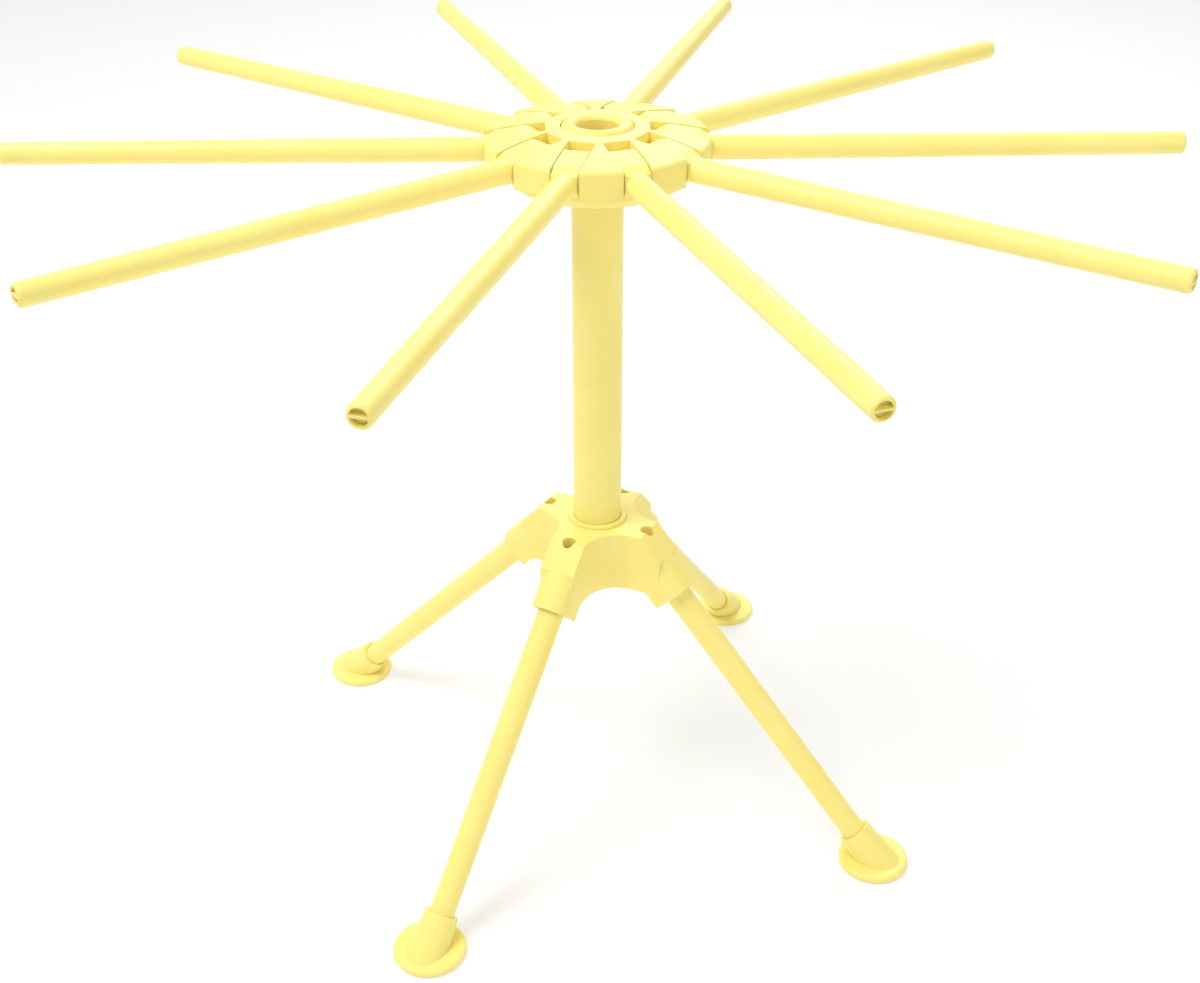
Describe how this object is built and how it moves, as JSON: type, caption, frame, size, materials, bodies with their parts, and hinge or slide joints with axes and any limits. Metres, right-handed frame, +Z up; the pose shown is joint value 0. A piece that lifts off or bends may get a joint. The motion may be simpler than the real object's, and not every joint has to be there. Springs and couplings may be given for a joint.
{
  "type": "pasta drying rack",
  "caption": "Free-standing pasta drying rack: radial arms hinge up from a slotted round hub on a column, over splayed folding legs with round foot pads.",
  "frame": {"origin": "on the floor under the column's axis, midway between the four feet", "axes": "+Z up along the column, +X along the first arm"},
  "size_m": [0.42, 0.4012, 0.2898],
  "materials": {
    "yellow_plastic": "soft satin moulded plastic",
    "hinge_pin": "moulded plastic pin"
  },
  "bodies": {
    "frame": {"base_spider": "yellow_plastic", "column": "yellow_plastic", "hub_floor": "yellow_plastic", "hub_top": "yellow_plastic", "centre_ring": "yellow_plastic", "arm_pin_01": "hinge_pin", "arm_pin_02": "hinge_pin", "arm_pin_03": "hinge_pin", "arm_pin_04": "hinge_pin", "arm_pin_05": "hinge_pin", "arm_pin_06": "hinge_pin", "arm_pin_07": "hinge_pin", "arm_pin_08": "hinge_pin", "arm_pin_09": "hinge_pin", "arm_pin_10": "hinge_pin", "leg_pin_01": "hinge_pin", "leg_pin_02": "hinge_pin", "leg_pin_03": "hinge_pin", "leg_pin_04": "hinge_pin"},
    "arm_01_body": {"arm_01": "yellow_plastic"},
    "arm_02_body": {"arm_02": "yellow_plastic"},
    "arm_03_body": {"arm_03": "yellow_plastic"},
    "arm_04_body": {"arm_04": "yellow_plastic"},
    "arm_05_body": {"arm_05": "yellow_plastic"},
    "arm_06_body": {"arm_06": "yellow_plastic"},
    "arm_07_body": {"arm_07": "yellow_plastic"},
    "arm_08_body": {"arm_08": "yellow_plastic"},
    "arm_09_body": {"arm_09": "yellow_plastic"},
    "arm_10_body": {"arm_10": "yellow_plastic"},
    "leg_01_body": {"leg_01": "yellow_plastic", "foot_01": "yellow_plastic"},
    "leg_02_body": {"leg_02": "yellow_plastic", "foot_02": "yellow_plastic"},
    "leg_03_body": {"leg_03": "yellow_plastic", "foot_03": "yellow_plastic"},
    "leg_04_body": {"leg_04": "yellow_plastic", "foot_04": "yellow_plastic"}
  },
  "joints": [
    {"name": "arm_01_fold", "type": "hinge", "parent": "frame", "child": "arm_01_body", "pos_m": [0.026, 0, 0.28], "axis": [0, -1, 0], "range_deg": [0, 90]},
    {"name": "arm_02_fold", "type": "hinge", "parent": "frame", "child": "arm_02_body", "pos_m": [0.02103, 0.01528, 0.28], "axis": [0.5878, -0.809, 0], "range_deg": [0, 90]},
    {"name": "arm_03_fold", "type": "hinge", "parent": "frame", "child": "arm_03_body", "pos_m": [0.00803, 0.02473, 0.28], "axis": [0.9511, -0.309, 0], "range_deg": [0, 90]},
    {"name": "arm_04_fold", "type": "hinge", "parent": "frame", "child": "arm_04_body", "pos_m": [-0.00803, 0.02473, 0.28], "axis": [0.9511, 0.309, 0], "range_deg": [0, 90]},
    {"name": "arm_05_fold", "type": "hinge", "parent": "frame", "child": "arm_05_body", "pos_m": [-0.02103, 0.01528, 0.28], "axis": [0.5878, 0.809, 0], "range_deg": [0, 90]},
    {"name": "arm_06_fold", "type": "hinge", "parent": "frame", "child": "arm_06_body", "pos_m": [-0.026, 0, 0.28], "axis": [0, 1, 0], "range_deg": [0, 90]},
    {"name": "arm_07_fold", "type": "hinge", "parent": "frame", "child": "arm_07_body", "pos_m": [-0.02103, -0.01528, 0.28], "axis": [-0.5878, 0.809, 0], "range_deg": [0, 90]},
    {"name": "arm_08_fold", "type": "hinge", "parent": "frame", "child": "arm_08_body", "pos_m": [-0.00803, -0.02473, 0.28], "axis": [-0.9511, 0.309, 0], "range_deg": [0, 90]},
    {"name": "arm_09_fold", "type": "hinge", "parent": "frame", "child": "arm_09_body", "pos_m": [0.00803, -0.02473, 0.28], "axis": [-0.9511, -0.309, 0], "range_deg": [0, 90]},
    {"name": "arm_10_fold", "type": "hinge", "parent": "frame", "child": "arm_10_body", "pos_m": [0.02103, -0.01528, 0.28], "axis": [-0.5878, -0.809, 0], "range_deg": [0, 90]},
    {"name": "leg_01_fold", "type": "hinge", "parent": "frame", "child": "leg_01_body", "pos_m": [0.01396, 0.02288, 0.1126], "axis": [-0.8536, 0.521, 0], "range_deg": [0, 43]},
    {"name": "leg_02_fold", "type": "hinge", "parent": "frame", "child": "leg_02_body", "pos_m": [-0.02288, 0.01396, 0.1126], "axis": [-0.521, -0.8536, 0], "range_deg": [0, 43]},
    {"name": "leg_03_fold", "type": "hinge", "parent": "frame", "child": "leg_03_body", "pos_m": [-0.01396, -0.02288, 0.1126], "axis": [0.8536, -0.521, 0], "range_deg": [0, 43]},
    {"name": "leg_04_fold", "type": "hinge", "parent": "frame", "child": "leg_04_body", "pos_m": [0.02288, -0.01396, 0.1126], "axis": [0.521, 0.8536, 0], "range_deg": [0, 43]}
  ]
}
